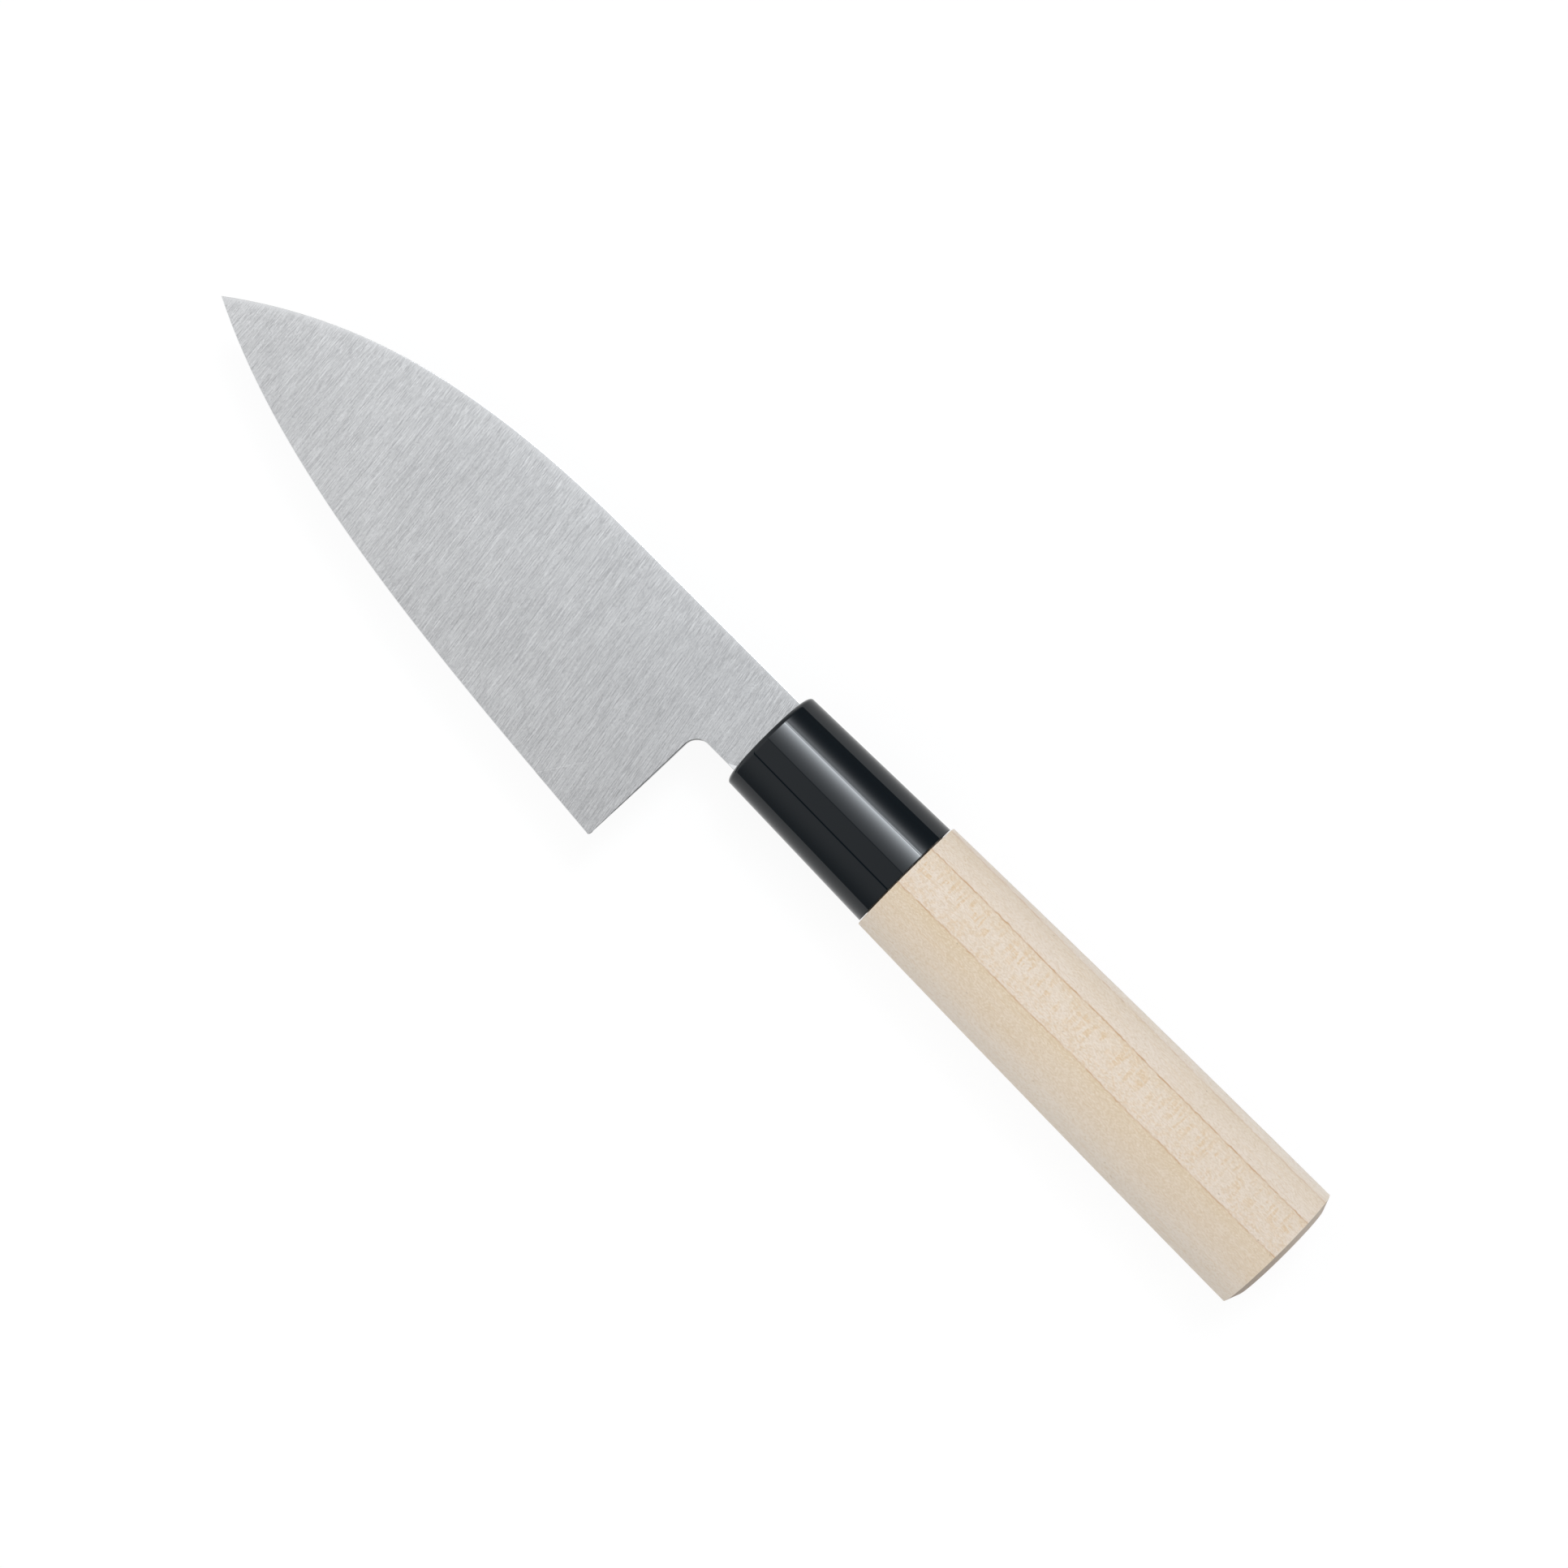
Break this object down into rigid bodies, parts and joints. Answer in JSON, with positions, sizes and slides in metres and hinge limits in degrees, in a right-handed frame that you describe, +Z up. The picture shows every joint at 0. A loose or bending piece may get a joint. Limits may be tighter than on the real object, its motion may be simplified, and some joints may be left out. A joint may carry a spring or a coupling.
{
  "type": "ajikiri knife",
  "caption": "Small single-bevel fish knife with a brushed steel blade, a black moulded ferrule and an oval pale wood handle.",
  "frame": {"origin": "middle of the knife's box, on the surface that it lies on, with the flat back of the blade facing up", "axes": "+X along the handle's axis from the tip to the butt, +Y from the cutting edge to the spine, +Z up, out of the blade's flat back"},
  "size_m": [0.226, 0.0426, 0.0185],
  "materials": {
    "blade": "fine hairline brushed from spine to edge",
    "ferrule": "glossy black moulding",
    "handle": "smooth bare magnolia wood",
    "tang_resin": "set casting resin"
  },
  "bodies": {
    "root": {"blade": "blade", "ferrule": "ferrule", "handle": "handle", "tang_resin": "tang_resin"}
  },
  "joints": []
}
